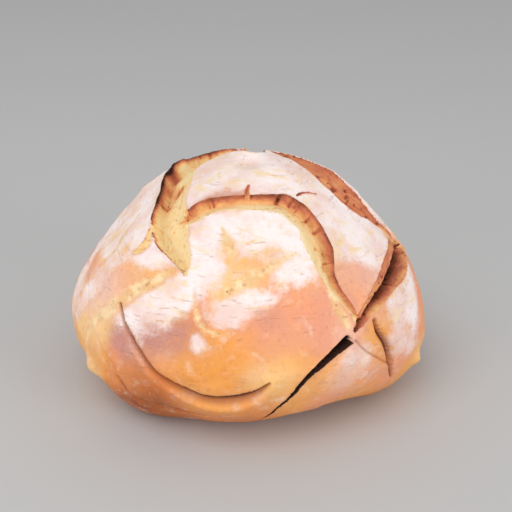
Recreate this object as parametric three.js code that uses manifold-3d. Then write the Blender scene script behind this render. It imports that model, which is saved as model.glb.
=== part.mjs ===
// A round, crusty sourdough loaf, baked free-standing on an oven stone.
//
// The loaf is one piece of bread. Its body is a dome that swells past a small flat base, and the crust has torn
// open along a network of tears while it rose in the oven. Each tear lifts the crust beside it into a lip and cuts
// a groove down into the crumb.
//
// Frame: millimetres, +Z up, X along the widest side, the origin under the middle of the loaf on its flat base.
// A place on the crust is given by two angles from the loaf's heart: azimuth (0 towards -Y, 90 towards +X)
// and elevation above the loaf's widest level.

import * as THREE from "three";
import { mergeVertices } from "three/addons/utils/BufferGeometryUtils.js";
import Module from "manifold-3d";

// ---- Driving dimensions ----

const WIDTH = 230; // along X
const DEPTH = 214; // along Y
const HEIGHT = 153; // from the base to the top of the crown
const GIRTH_Z = 56.6; // height of the widest level, where the heart lies
const CROWN_RISE = 97.1; // from the heart to the top of the dome, before the lips lift it
const UNDER_DROP = 62.6; // the underside's semi-axis: longer than GIRTH_Z, so that the base comes out flat
const CROWN_POWER = 1.68; // under 2, so that the dome runs up straighter than an ellipse
const UNDER_POWER = 2.28; // over 2, so that the underside is fuller than an ellipse
const LIP_REACH = 22; // how far from a tear its lifted lip fades by a factor of e

const BODY_DETAIL = 13; // subdivisions of the icosahedron that carries the body
const TEAR_STEPS = 4; // sections of a groove between two points of its path
const GROOVE_TOP = 14; // how far a groove's cutter stands above the crust
const THIN_END = 0.3; // a tear's depth follows its width to this power

// Where the dome bulges (+) or is slack (-): azimuth, elevation, height in mm, spread in degrees.
const BULGES = [
  [-90, 15, -5, 26],
  [-90, 48, -5.2, 24],
  [-62, -34, 1.6, 20],
  [-45, -30, 10, 16],
  [-10, -45, 5.3, 22],
  [40, -42, -0.9, 22],
  [60, -36, 2.7, 16],
  [75, -30, 12.8, 20],
  [98, 12, -4.1, 22],
  [105, 48, -2, 30],
  [60, 68, 5.1, 20],
  [0, 85, 5.7, 25],
];

// The tears. path holds [azimuth, elevation, width in mm, lift of the crust on the left in mm, lift on the right].
// lean says where the groove is deepest, from -1, the right lip, to 1, the left lip. Left and right are as seen
// from outside by someone who follows the path.
const TEARS = {
  west: {
    path: [
      [-24, 33.5, 2, 0.5, 0.3],
      [-26.5, 37, 8, 1.5, 0.6],
      [-31, 40.5, 13, 2.5, 0.8],
      [-36.5, 44, 19, 3.3, 0.9],
      [-42, 48, 23, 4, 1],
      [-48, 52.5, 23, 4.6, 1],
      [-56, 57, 20, 5, 1],
      [-67, 62, 20, 5.4, 1],
      [-95, 67.5, 16, 8.5, 1],
      [-140, 77, 15, 1.6, 0.9],
      [120, 87, 13, 0.3, 0.8],
    ],
    depth: 11,
    lean: 0.75,
  },
  crown: {
    path: [
      [-37, 52.5, 1, 1, 0],
      [-32, 56, 8, 2, 0],
      [-25, 59.8, 9.5, 3, 0],
      [0, 62.8, 8, 3, 0],
      [16, 61.8, 9, 3, 0],
      [26, 59.5, 11.5, 3, 0],
      [32.5, 55, 14, 3, 0],
      [34.8, 50, 14.5, 3, 0],
      [34.3, 45, 14.5, 3, 0],
      [34, 40, 13.5, 3, 0],
      [33, 35, 11, 2.8, 0],
      [32.8, 30.5, 7.5, 2.5, 0],
      [33.5, 25, 5.5, 2.2, 0],
      [36.5, 17, 3.5, 1.9, 0],
      [37, 13, 2.5, 1.6, 0],
    ],
    depth: 7,
    lean: 0.7,
  },
  east: {
    path: [
      [150, 82, 12, 1, 0],
      [96, 73, 15, 2.5, 0],
      [80, 62, 16, 6.3, 0],
      [76.5, 50, 15, 7, 0],
      [79.5, 41, 9.5, 5, 0],
      [83.5, 34.5, 6, 3.5, 0],
      [86, 29.5, 7.5, 2.5, 0],
      [86.5, 26, 6, 2, 0],
    ],
    depth: 8,
    lean: -0.7,
  },
  gorge: {
    path: [
      [84.5, 23.5, 8, 1.8, 0],
      [80, 24.7, 15, 2.1, 0],
      [74, 24.6, 18, 2.2, 0],
      [66, 23.8, 17.5, 2.2, 0],
      [58, 22.2, 15, 2.2, 0],
      [50, 20, 12, 2, 0],
      [43, 17.6, 8.8, 1.8, 0],
      [38, 14.6, 5.5, 1.5, 0],
      [35.5, 11.3, 2.5, 1.2, 0],
    ],
    depth: 16,
    lean: 0.3,
  },
  slit: {
    path: [
      [33, 9.3, 6.5, 0, 0],
      [31, 8.2, 6.5, 0, 0],
      [27.2, 6, 5.2, 0, 0],
      [22.2, 2.6, 4.2, 0, 0],
      [18, -0.8, 3.2, 0, 0],
      [14, -7, 2.3, 0, 0],
      [10.5, -14, 1.8, 0, 0],
      [7.3, -24, 1.2, 0, 0],
    ],
    depth: 20,
    lean: 0,
  },
  spur: {
    path: [
      [43.9, 12, 2, 0.8, 0],
      [45.4, 8.5, 3.5, 1, 0],
      [47.8, 3.9, 4, 1, 0],
      [49.4, -0.4, 4, 1, 0],
      [51.3, -6.4, 3.2, 1, 0],
      [54.4, -14, 1, 0.7, 0],
    ],
    depth: 7,
    lean: 0.2,
  },
  fold: {
    path: [
      [-46.5, 17, 1.5, 0, 1.2],
      [-41.5, 12.4, 2, 0, 1.3],
      [-37, 8.4, 2.5, 0, 1.4],
      [-31.5, 3, 3, 0, 1.5],
      [-27.5, -0.6, 4, 0, 1.6],
      [-21, -4, 6, 0, 1.8],
      [-12, -6.8, 8, 0, 2],
      [-4, -6.4, 9, 0, 2.2],
      [2, -4.4, 7, 0, 2.1],
      [6, -2, 4, 0, 1.8],
      [9, 0.5, 1, 0, 1.2],
    ],
    depth: 6,
    lean: -0.7,
  },
  north: {
    path: [
      [150, 84, 12, 2.7, 2],
      [168, 70, 15, 2.9, 2.5],
      [163, 55, 17, 3, 3],
      [170, 38, 14, 2.8, 3],
      [179, 20, 9, 2.5, 2.5],
      [175, 4, 2, 1.6, 1.5],
    ],
    depth: 12,
    lean: -0.5,
  },
  northwest: {
    path: [
      [-114, 57, 2, 2.6, 0],
      [-117, 48, 12, 3.9, 0],
      [-128, 35, 15, 4, 0],
      [-131, 20, 10, 3.5, 0],
      [-122, 6, 2, 2.2, 0],
    ],
    depth: 9,
    lean: 0.6,
  },
  northeast: {
    path: [
      [95, 23, 3, 1.6, 0.9],
      [104, 20, 11, 2, 1],
      [120, 17, 10, 1.9, 1],
      [137, 8, 6, 1.7, 0.8],
      [148, -4, 1.5, 1.1, 0.5],
    ],
    depth: 11,
    lean: 0.3,
  },
  back_fold: {
    path: [
      [-92, -6, 1.5, 1.4, 0],
      [-104, -12, 3, 1.7, 0],
      [-122, -14, 5, 2, 0],
      [-142, -9, 5, 2, 0],
      [-158, 0, 1.5, 1.4, 0],
    ],
    depth: 5,
    lean: 0.7,
  },
};

// ---- Places and paths on the crust ----

function direction(azimuth, elevation) {
  const a = THREE.MathUtils.degToRad(azimuth);
  const e = THREE.MathUtils.degToRad(elevation);
  return new THREE.Vector3(
    Math.sin(a) * Math.cos(e),
    -Math.cos(a) * Math.cos(e),
    Math.sin(e),
  );
}

// A smooth run of places along a tear, each with its direction from the heart, the tear's width there, its share of
// the full depth and the lift of its lips.
function placesAlong({ path }) {
  const directions = path.map(([azimuth, elevation]) =>
    direction(azimuth, elevation),
  );
  const curve = new THREE.CatmullRomCurve3(
    directions,
    false,
    "catmullrom",
    0.5,
  );
  const steps = TEAR_STEPS * (path.length - 1);
  const widest = Math.max(...path.map(([, , width]) => width));
  return Array.from({ length: steps + 1 }, (_, i) => {
    const at = i / TEAR_STEPS;
    const from = Math.min(Math.floor(at), path.length - 2);
    const [width, liftLeft, liftRight] = [2, 3, 4].map((column) =>
      THREE.MathUtils.lerp(
        path[from][column],
        path[from + 1][column],
        at - from,
      ),
    );
    return {
      toward: curve.getPoint(i / steps).normalize(),
      width,
      share: (width / widest) ** THIN_END,
      liftLeft,
      liftRight,
    };
  });
}

const tearPlaces = Object.fromEntries(
  Object.entries(TEARS).map(([name, tear]) => [name, placesAlong(tear)]),
);

// ---- The body ----

// Distance from the heart to the smooth dough, before any tear: two half superellipses and the bulges.
function doughRadius(toward) {
  const level = Math.hypot(toward.x / (WIDTH / 2), toward.y / (DEPTH / 2));
  const [drop, power] =
    toward.z > 0
      ? [CROWN_RISE, CROWN_POWER]
      : [UNDER_DROP, UNDER_POWER];
  const round =
    (level ** power + Math.abs(toward.z / drop) ** power) ** (-1 / power);
  return BULGES.reduce((radius, [azimuth, elevation, height, spread]) => {
    const away = THREE.MathUtils.radToDeg(
      toward.angleTo(direction(azimuth, elevation)),
    );
    return radius + height * Math.exp(-((away / spread) ** 2));
  }, round);
}

// How far the tears lift the crust here: each tear's lip fades with the distance from the tear's edge.
function lipLift(toward, radius) {
  let lift = 0;
  for (const places of Object.values(tearPlaces)) {
    let nearest = 0;
    for (let i = 1; i < places.length; i++)
      if (
        toward.dot(places[i].toward) > toward.dot(places[nearest].toward)
      )
        nearest = i;
    const { toward: here, width, liftLeft, liftRight } = places[nearest];
    const before = places[Math.max(nearest - 1, 0)].toward;
    const after = places[Math.min(nearest + 1, places.length - 1)].toward;
    const left = here.clone().cross(after.clone().sub(before)).normalize();
    const across = radius * toward.dot(left);
    const beyond = Math.max(radius * toward.angleTo(here) - width / 2, 0);
    const side = THREE.MathUtils.clamp(across / (width / 2), -1, 1);
    const edge = THREE.MathUtils.lerp(liftRight, liftLeft, (side + 1) / 2);
    lift += edge * Math.exp(-beyond / LIP_REACH);
  }
  return lift;
}

function onCrust(toward) {
  const dough = doughRadius(toward);
  return toward.clone().multiplyScalar(dough + lipLift(toward, dough));
}

// The whole loaf before the grooves are cut: every vertex of a fine icosahedron is pushed out to the crust, and what
// would fall below the oven stone is pressed flat on it.
function bodyGeometry() {
  const geometry = new THREE.IcosahedronGeometry(1, BODY_DETAIL);
  const position = geometry.getAttribute("position");
  const point = new THREE.Vector3();
  for (let i = 0; i < position.count; i++) {
    point.fromBufferAttribute(position, i).normalize();
    const { x, y, z } = onCrust(point);
    position.setXYZ(i, x, y, Math.max(z, -GIRTH_Z));
  }
  return geometry;
}

// ---- The grooves ----

// The cutter of one tear: a wedge-shaped section carried along its path. The section is as wide as the tear at the
// crust, comes to its deepest line at the lean, and stands clear above the crust.
function grooveGeometry(name) {
  const { depth, lean } = TEARS[name];
  const places = tearPlaces[name];
  const centres = places.map(({ toward }) => onCrust(toward));
  const rings = places.map(({ toward, width, share }, i) => {
    const along = centres[Math.min(i + 1, centres.length - 1)]
      .clone()
      .sub(centres[Math.max(i - 1, 0)]);
    const left = toward.clone().cross(along).normalize();
    const section = [
      [width / 2, GROOVE_TOP],
      [-width / 2, GROOVE_TOP],
      [-width / 2, 0],
      [(lean * width) / 2, -depth * share],
      [width / 2, 0],
    ];
    return section.map(([side, out]) =>
      centres[i]
        .clone()
        .addScaledVector(left, side)
        .addScaledVector(toward, out),
    );
  });
  const sides = rings[0].length;
  const index = [];
  for (let i = 0; i + 1 < rings.length; i++)
    for (let j = 0; j < sides; j++) {
      const a = i * sides + j;
      const b = i * sides + ((j + 1) % sides);
      index.push(a, b, a + sides, b, b + sides, a + sides);
    }
  const last = (rings.length - 1) * sides;
  for (let j = 1; j + 1 < sides; j++) {
    index.push(0, j + 1, j);
    index.push(last, last + j, last + j + 1);
  }
  const geometry = new THREE.BufferGeometry().setFromPoints(rings.flat());
  geometry.setIndex(index);
  return geometry;
}

// ---- Cutting the grooves out of the body ----

const wasm = await Module();
wasm.setup();

function solidOf(geometry) {
  const bare = new THREE.BufferGeometry().setAttribute(
    "position",
    geometry.getAttribute("position"),
  );
  bare.setIndex(geometry.index);
  const merged = mergeVertices(bare, 1e-3);
  return new wasm.Manifold(
    new wasm.Mesh({
      numProp: 3,
      vertProperties: merged.getAttribute("position").array,
      triVerts: new Uint32Array(merged.index.array),
    }),
  );
}

function geometryOf(solid) {
  const { vertProperties, triVerts } = solid.getMesh();
  return new THREE.BufferGeometry()
    .setAttribute("position", new THREE.BufferAttribute(vertProperties, 3))
    .setIndex(new THREE.BufferAttribute(triVerts, 1));
}

const torn = Object.keys(TEARS).reduce(
  (solid, name) => solid.subtract(solidOf(grooveGeometry(name))),
  solidOf(bodyGeometry()),
);

// Where grooves cross they can cut a crumb loose: only the loaf itself is kept.
const [loaf] = torn.decompose().sort((a, b) => b.volume() - a.volume());

// The lips and bulges change the outer size a little, so the loaf is brought back to its stated one, with its base
// on the ground and its middle over the origin.
const loafGeometry = geometryOf(loaf);
loafGeometry.computeBoundingBox();
const size = loafGeometry.boundingBox.getSize(new THREE.Vector3());
const middle = loafGeometry.boundingBox.getCenter(new THREE.Vector3());
loafGeometry.translate(-middle.x, -middle.y, -loafGeometry.boundingBox.min.z);
loafGeometry.scale(WIDTH / size.x, DEPTH / size.y, HEIGHT / size.z);

const bread = new THREE.Mesh(
  loafGeometry,
  new THREE.MeshStandardMaterial({
    color: 0xe6a873,
    roughness: 0.85,
    metalness: 0,
  }),
);
bread.name = "loaf";

const sourdoughLoaf = new THREE.Group();
sourdoughLoaf.add(bread);

export default sourdoughLoaf;
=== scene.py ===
# %% [markdown]
# # A torn sourdough loaf
#
# A free-standing sourdough is proved in a basket, turned out on a hot stone and baked fast. The skin sets
# before the inside has finished rising, so the crust tears, and the plates between the tears lift and puff.
# This lesson builds one such loaf as a single closed surface, and then bakes it with colour.
#
# The solid model of the loaf is loaded first. It is never moved or changed: it says how big the loaf is and
# where it stands, and the detailed skin made below takes its place in the picture.

# %% Load the solid loaf
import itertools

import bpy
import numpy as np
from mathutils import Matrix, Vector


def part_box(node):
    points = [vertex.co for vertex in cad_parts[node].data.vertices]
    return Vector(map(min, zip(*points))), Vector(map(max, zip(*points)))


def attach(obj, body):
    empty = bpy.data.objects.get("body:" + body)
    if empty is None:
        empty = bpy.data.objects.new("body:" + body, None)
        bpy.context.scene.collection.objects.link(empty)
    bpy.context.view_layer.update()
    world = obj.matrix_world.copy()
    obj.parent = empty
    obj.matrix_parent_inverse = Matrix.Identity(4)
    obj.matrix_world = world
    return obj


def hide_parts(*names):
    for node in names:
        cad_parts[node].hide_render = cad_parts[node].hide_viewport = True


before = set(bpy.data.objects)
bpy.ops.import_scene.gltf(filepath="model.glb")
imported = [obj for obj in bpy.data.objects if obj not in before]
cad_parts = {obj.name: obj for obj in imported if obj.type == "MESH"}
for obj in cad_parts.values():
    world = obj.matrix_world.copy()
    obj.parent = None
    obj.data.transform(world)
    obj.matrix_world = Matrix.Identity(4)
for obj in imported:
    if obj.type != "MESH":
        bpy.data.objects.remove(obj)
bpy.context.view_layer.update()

# %% [markdown]
# ## The loaf's box
#
# Everything is sized from the solid loaf, because the skin made here must fill the same box. The box is kept
# as it is now, so that the finished skin can be stretched to fill it.

box_low, box_high = (np.array(corner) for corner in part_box("loaf"))
MM = 0.001  # one millimetre in Blender's metres
wide, deep, tall = (box_high - box_low) / MM
print(f"the loaf is {wide:.0f} mm wide, {deep:.0f} mm deep and {tall:.0f} mm tall")

# %% [markdown]
# ## Directions from the heart
#
# Every place on a loaf can be reached by walking straight out from its heart, a point in the middle of its
# widest level. So the skin is one number for each direction: how far out the crust is. A direction is
# given by an azimuth, 0 towards the front (-Y) and 90 towards the right (+X), and an elevation above the
# widest level. A ball could be pushed into shape by hand instead, but numbers can be added up and changed.

# %% A direction
GIRTH = 56.6  # height of the widest level above the stone, in mm


def toward(azimuth, elevation):
    """Unit direction: the azimuth turns it round the loaf and the elevation lifts it."""
    turn = np.radians(azimuth)
    rise = np.radians(elevation)
    return np.stack(
        [np.sin(turn) * np.cos(rise), -np.cos(turn) * np.cos(rise), np.sin(rise)], axis=-1
    )


def degrees_from(directions, azimuth, elevation):
    """Angle in degrees between each direction and the one named."""
    cosine = directions @ toward(azimuth, elevation)
    return np.degrees(np.arccos(np.clip(cosine, -1, 1)))


print("the front is", toward(0, 0).round(2), "and the right is", toward(90, 0).round(2))

# %% [markdown]
# ## A ball of square grids
#
# A globe of meridians pinches its faces at the poles, just where the crown of a loaf is. Six square grids,
# one for each face of a cube blown up to a ball, give even faces with no pole at all. The grid's corners
# are counted in whole steps, so that the edges of neighbouring grids can be found and joined exactly. The
# directions are then drawn a little towards the front of the crown, where the crust has most to show.

# %% The ball
STEPS = 128  # squares along one edge of the cube
CROWDING = 0.34  # how strongly the directions crowd towards the crown's front
CROWD_TOWARD = toward(0, 50)


def ball_of_grids(steps):
    """Directions and faces of a ball. A face's place (u, v), each from -1 to 1, becomes the direction
    (tan 45u, tan 45v, 1) in degrees, turned to that face of the cube and made one unit long."""
    u, v = (axis.ravel() for axis in np.meshgrid(range(steps + 1), range(steps + 1), indexing="ij"))
    corner = np.arange(steps * (steps + 1)).reshape(steps, steps + 1)[:, :steps].ravel()
    square = np.stack([corner, corner + steps + 1, corner + steps + 2, corner + 1], axis=1)
    lattice = []
    faces = []
    for axis, end in itertools.product(range(3), (0, steps)):
        grid = np.full((len(u), 3), end)
        grid[:, (axis + 1) % 3] = u
        grid[:, (axis + 2) % 3] = v
        turned = square if end else square[:, ::-1]
        faces.append(turned + len(u) * len(lattice))
        lattice.append(grid)
    corners, joined = np.unique(np.vstack(lattice), axis=0, return_inverse=True)
    spread = np.tan(np.pi / 4 * (2 * corners / steps - 1))
    directions = spread / np.linalg.norm(spread, axis=1, keepdims=True)
    return directions, joined.ravel()[np.vstack(faces)]


def unit_rows(vectors):
    """Each row made one unit long."""
    return vectors / np.linalg.norm(vectors, axis=1, keepdims=True)


directions, faces = ball_of_grids(STEPS)
directions = unit_rows(directions + CROWDING * CROWD_TOWARD)
print(f"the ball has {len(directions)} corners and {len(faces)} squares")

# %% [markdown]
# ## The dough's own shape
#
# Before it tears, the dough is a dome that swells past a small flat base. Its upright outline is a
# superellipse, which is an ellipse whose square power is swapped for another: under 2 it runs up straighter,
# over 2 it is fuller. An ellipse alone would be too even and too round for a slack dough. Soft round bulges,
# added on top, make it lopsided as real dough is.

# %% The dome
CROWN_RISE = 97.1  # from the heart to the top, in mm
UNDER_DROP = 62.6  # longer than GIRTH, so that the underside is cut flat by the stone
CROWN_POWER = 1.68
UNDER_POWER = 2.28
BULGES = [  # azimuth, elevation, height in mm, spread in degrees
    (-90, 15, -5, 26), (-90, 48, -5.2, 24), (-62, -34, 1.6, 20), (-45, -30, 10, 16),
    (-10, -45, 5.3, 22), (40, -42, -0.9, 22), (60, -36, 2.7, 16), (75, -30, 12.8, 20),
    (98, 12, -4.1, 22), (105, 48, -2, 30), (60, 68, 5.1, 20), (0, 85, 5.7, 25),
]


def dough_radius(directions):
    """How far out the whole dough is: (level^power + upright^power)^(-1 / power), where level and upright are
    the direction's parts as shares of the loaf's reach that way, plus the bulges."""
    level = np.hypot(directions[:, 0] / (wide / 2), directions[:, 1] / (deep / 2))
    above = directions[:, 2] > 0
    drop = np.where(above, CROWN_RISE, UNDER_DROP)
    power = np.where(above, CROWN_POWER, UNDER_POWER)
    radius = (level**power + np.abs(directions[:, 2] / drop) ** power) ** (-1 / power)
    for azimuth, elevation, rise, spread in BULGES:
        radius += rise * np.exp(-((degrees_from(directions, azimuth, elevation) / spread) ** 2))
    return radius


top, front = dough_radius(toward(np.array([0, 0]), np.array([90, 0])))
print(f"from its heart the dough is {top:.0f} mm to the top and {front:.0f} mm to the front")

# %% [markdown]
# ## The network of tears
#
# Each tear is a path over the crust with a width at each of its places. Crust beside it is lifted into a
# lip, and a groove runs down into the crumb. A groove is rarely even: it leans, so that one wall is steep
# and dark and the other is a long pale slope. Tears could be left to noise, but then none of them would have
# its own place and temper, so each is drawn.
#
# - `depth` is in mm, and `lean` puts the deepest line between the right lip (-1) and the left lip (1).
# - `hollow` over 1 makes the long wall a round trough, and under 1 a sharp one.
# - `under` pulls the floor in under the steep lip, in mm.
# - `rind` is how far crust reaches down the left wall, in mm.
# - `ledge` is the share of the long wall that lies level beside its lip.
# - The bake and shade of a tear say how dark its left lip, floor and right lip are: 0 is pale crumb and
#   1 is nearly burnt. Mostly that is how baked they are, but the near-black of the slit and the dark floor of
#   the gorge are painted shade deep in the groove, and the west tear's dark left lip is partly painted shadow
#   under its overhang. `turn` over 1 keeps the floor's colour until close to the lip.
# - `ragged` scales the nicks of the torn edge, and `blunt` makes its ends less pointed.
#
# A crease is crust that bends in without tearing. It has a `shade`, how dark the painted shade on its deepest
# line is, and may have a `power`, how steeply its long side falls.

# %% The tears
TEARS = {  # a path row is azimuth, elevation, width, lift of the left lip, lift of the right lip
    # the west tear's dark left lip is partly toasted crust and partly painted shadow under its overhang
    "west": dict(
        path=[(-24, 33.5, 2, 0.5, 0.3), (-26.5, 37, 8, 1.5, 0.6), (-31, 40.5, 13, 2.5, 0.8),
              (-36.5, 44, 19, 3.3, 0.9), (-42, 48, 23, 4, 1), (-48, 52.5, 23, 4.6, 1),
              (-56, 57, 20, 5, 1), (-67, 62, 20.5, 5.4, 1), (-91, 68.7, 19, 8.5, 0.8),
              (-130, 78, 18, 2.5, 0.6), (120, 87, 13, 0.3, 0.8)],
        depth=11, lean=0.75, hollow=1.1, under=2.4, bake_and_shade=(0.8, 0.02, 0.1), turn=3.2),
    "crown": dict(
        path=[(-42, 49.5, 4, 0.5, 0), (-36.5, 53, 10, 1.2, 0), (-31.5, 56.4, 10.5, 2.2, 0),
              (-25, 59.6, 9.5, 3, 0), (0, 62.8, 8, 3, 0),
              (16, 61.8, 9, 3, 0), (26, 59.5, 11.5, 3, 0), (32.5, 55, 14, 3, 0), (34.8, 50, 14.5, 3, 0),
              (34.3, 45, 14.5, 3, 0), (34, 40, 13.5, 3, 0), (33, 35, 11, 2.8, 0),
              (32.8, 30.5, 7.5, 2.5, 0), (33.5, 25, 5.5, 2.2, 0), (36.5, 17, 3.5, 1.9, 0),
              (37, 13, 2.5, 1.6, 0)],
        depth=7, lean=0.7, hollow=1.3, under=0.8, bake_and_shade=(0.67, 0.34, -0.04), turn=0.7),
    "east": dict(
        path=[(150, 82, 12, 1, 0), (96, 73, 15, 2.5, 0), (80, 62, 16, 6.3, 0), (76.5, 50, 15, 7, 0),
              (79.5, 41, 9.5, 5, 0), (83.5, 34.5, 6, 3.5, 0), (86, 29.5, 7.5, 2.5, 0), (86.5, 26, 6, 2, 0)],
        depth=8, lean=-0.7, hollow=1.3, bake_and_shade=(0.56, 0.5, 0.3), turn=1.0, rind=1.5),
    # the gorge's dark floor is painted shade deep in its crevice
    "gorge": dict(
        path=[(84.5, 23.5, 8, 1.8, 0), (80, 24.7, 15, 2.1, 0), (74, 24.6, 18, 2.2, 0),
              (66, 23.8, 17.5, 2.2, 0), (58, 22.2, 15, 2.2, 0), (50, 20, 12, 2, 0), (43, 17.6, 8.8, 1.8, 0),
              (38, 14.6, 5.5, 1.5, 0), (35.5, 11.3, 2.5, 1.2, 0)],
        depth=16, lean=0.3, hollow=0.75, ledge=0.42, bake_and_shade=(0.4, 1.0, 0.55), turn=2.2),
    # the slit's near-black lips, walls and floor are painted shade inside the narrow deep slit
    "slit": dict(
        path=[(33, 9.3, 6.5, 0, 0), (31, 8.2, 6.5, 0, 0), (27.2, 6, 5.2, 0, 0), (22.2, 2.6, 4.2, 0, 0),
              (18, -0.8, 3.2, 0, 0), (14, -7, 2.3, 0, 0), (9.5, -14, 1.8, 0, 0), (5, -24, 1.2, 0, 0)],
        depth=20, lean=0.0, hollow=2.6, bake_and_shade=(1.05, 1.3, 1.05), turn=0.5, ragged=0.2, blunt=3.0),
    "north": dict(
        path=[(150, 84, 12, 2.7, 2), (168, 70, 15, 2.9, 2.5), (163, 55, 17, 3, 3), (170, 38, 14, 2.8, 3),
              (179, 20, 9, 2.5, 2.5), (175, 4, 2, 1.6, 1.5)],
        depth=12, lean=-0.5, hollow=1.5, bake_and_shade=(0.3, 0.2, 0.8), turn=1.3),
    "northwest": dict(
        path=[(-114, 57, 2, 2.6, 0), (-117, 48, 12, 3.9, 0), (-128, 35, 15, 4, 0), (-131, 20, 10, 3.5, 0),
              (-122, 6, 2, 2.2, 0)],
        depth=9, lean=0.6, hollow=1.5, bake_and_shade=(0.8, 0.2, 0.2), turn=1.5),
    "northeast": dict(
        path=[(95, 23, 3, 1.6, 0.9), (104, 20, 11, 2, 1), (120, 17, 10, 1.9, 1), (137, 8, 6, 1.7, 0.8),
              (148, -4, 1.5, 1.1, 0.5)],
        depth=11, lean=0.3, hollow=1.2, bake_and_shade=(0.6, 0.5, 0.3), turn=1.0),
    "leaf": dict(
        path=[(-53, 47.5, 1, 0.4, 0.4), (-49.5, 43, 3, 0.5, 0.4), (-47.5, 39.5, 6, 0.6, 0.4),
              (-49, 36.5, 6, 0.5, 0.4), (-51, 34.5, 3, 0.4, 0.4)],
        depth=1.2, lean=0.5, hollow=2, bake_and_shade=(0.42, 0.16, 0.22), turn=3, ragged=0.4),
    "crown_nick": dict(
        path=[(0.9, 64.6, 3.2, 0, 0), (0.6, 66.5, 2.8, 0, 0), (2.4, 69, 1.4, 0, 0)],
        depth=2, lean=0.2, hollow=1.2, bake_and_shade=(0.4, 0.5, 0.4), turn=1.0, ragged=0.5),
    "crown_split": dict(
        path=[(38, 61.8, 1.8, 0, 0), (43, 62.1, 1.3, 0, 0), (48, 61.2, 0.9, 0, 0), (53, 59.8, 0.6, 0, 0)],
        depth=1, lean=0, hollow=1.5, bake_and_shade=(0.5, 0.55, 0.5), turn=1.0, ragged=0.3),
}

# %% The creases
CREASES = {
    "fold": dict(
        path=[(-46.5, 17, 2, 0, 1.2), (-42, 12, 3, 0, 1.3), (-37.6, 8, 4, 0, 1.4), (-32.3, 2.6, 5, 0, 1.5),
              (-28.6, -1.5, 6.5, 0, 1.6), (-22, -5.8, 9, 0, 1.8), (-12.5, -9.3, 12, 0, 2.2),
              (-4, -9.2, 12.5, 0, 2.4), (2.4, -6.6, 9, 0, 2.2), (5.5, -3.7, 4.5, 0, 1.8),
              (7.2, -0.9, 1.5, 0, 1.2)],
        depth=5.5, lean=0.4, shade=1.0, power=1.25),
    "spur": dict(
        path=[(42.6, 12.6, 4, 0.8, 0), (43.4, 8.2, 7, 1.1, 0), (45.4, 3.8, 8, 1.2, 0), (46.8, 0.7, 8, 1.2, 0),
              (48.9, -5.4, 6, 1, 0), (53, -13.5, 2, 0.7, 0)],
        depth=5.5, lean=0.6, shade=1.0),
    "left_seam": dict(
        path=[(-90, 14.6, 2.5, 0, 0.2), (-72, 14.6, 3.5, 0, 0.3), (-63.5, 11, 3.5, 0, 0.3),
              (-57, 6, 2, 0, 0.2)],
        depth=1.2, lean=0.2, shade=0.32),
    "wedge_edge": dict(
        path=[(35.5, 8, 2.5, 0, 0), (38.5, 3.8, 3.5, 0, 0), (44, -1.2, 3.5, 0, 0), (50, -6.5, 2, 0, 0)],
        depth=1.5, lean=-0.3, shade=0.6),
    # the hollow under the roll: its painted shade is the shadow under the roll
    "under_roll": dict(
        path=[(-44, -9, 3, 0, 0), (-41, -13.5, 8, 0, 0), (-36, -17, 12, 0, 0), (-29, -18.5, 13, 0, 0),
              (-22, -19, 10, 0, 0), (-14, -19, 4, 0, 0)],
        depth=3.4, lean=0.1, shade=0.85),
    "back_fold": dict(
        path=[(-98, -8, 2, 1.2, 0), (-108, -13, 6, 1.7, 0), (-122, -14, 8, 2, 0), (-134, -11.5, 7, 1.8, 0),
              (-143, -9.5, 2, 1.2, 0)],
        depth=4.5, lean=0.7, shade=0.5),
}
for crease in CREASES.values():
    crease.update(crease=True, ragged=0.3)  # a crease's edge is nearly smooth
LINES = TEARS | CREASES
print(f"{len(TEARS)} tears and {len(CREASES)} creases")

# %% [markdown]
# A tear's path is a smooth curve through its places. Each dense step along it knows which way is ahead
# and which way is left, as seen from outside by someone walking the tear.

# %% A tear's line
STEPS_BETWEEN = 16  # dense steps between two places of a path
THIN_END = 0.3  # a tear's depth and lip follow its width to this power


def tear_line(path):
    """Dense steps along a path. Between two places p1 and p2 the curve is half of
    2 p1 + (p2 - p0) t + (2 p0 - 5 p1 + 4 p2 - p3) t^2 + (3 p1 - p0 - 3 p2 + p3) t^3, made one unit long."""
    azimuth, elevation, *measures = np.array(path, float).T
    places = toward(azimuth, elevation)
    ends = np.vstack([2 * places[0] - places[1], places, 2 * places[-1] - places[-2]])
    at = np.linspace(0, len(path) - 1, STEPS_BETWEEN * (len(path) - 1) + 1)
    span = np.minimum(at.astype(int), len(path) - 2)
    t = (at - span)[:, None]
    p0, p1, p2, p3 = (ends[span + k] for k in range(4))
    curve = 2 * p1 + (p2 - p0) * t + (2 * p0 - 5 * p1 + 4 * p2 - p3) * t**2
    line = unit_rows(curve + (3 * p1 - p0 - 3 * p2 + p3) * t**3)
    left = unit_rows(np.cross(line, np.gradient(line, axis=0)))
    width, lift_left, lift_right = (np.interp(at, range(len(path)), column) for column in measures)
    steps = np.linalg.norm(np.diff(line, axis=0), axis=1) * dough_radius(line)[1:]
    return dict(
        line=line, left=left, ahead=np.cross(left, line), width=width,
        lift_left=lift_left, lift_right=lift_right,
        share=(width / width.max()) ** THIN_END, run=np.concatenate([[0], np.cumsum(steps)]),
    )


for tear in LINES.values():
    tear.update(tear_line(tear["path"]))
print("the west tear is %.0f mm long" % TEARS["west"]["run"][-1])

# %% [markdown]
# Torn edges are ragged, and crust is never smooth, so the lesson needs noise: numbers that wander smoothly
# from place to place. It is made from a block of fixed random numbers, one for each corner of a grid of
# cubes, blended smoothly in between. The same seed always gives the same wandering.

# %% Wandering numbers
NOISE_BLOCK = 32


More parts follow.
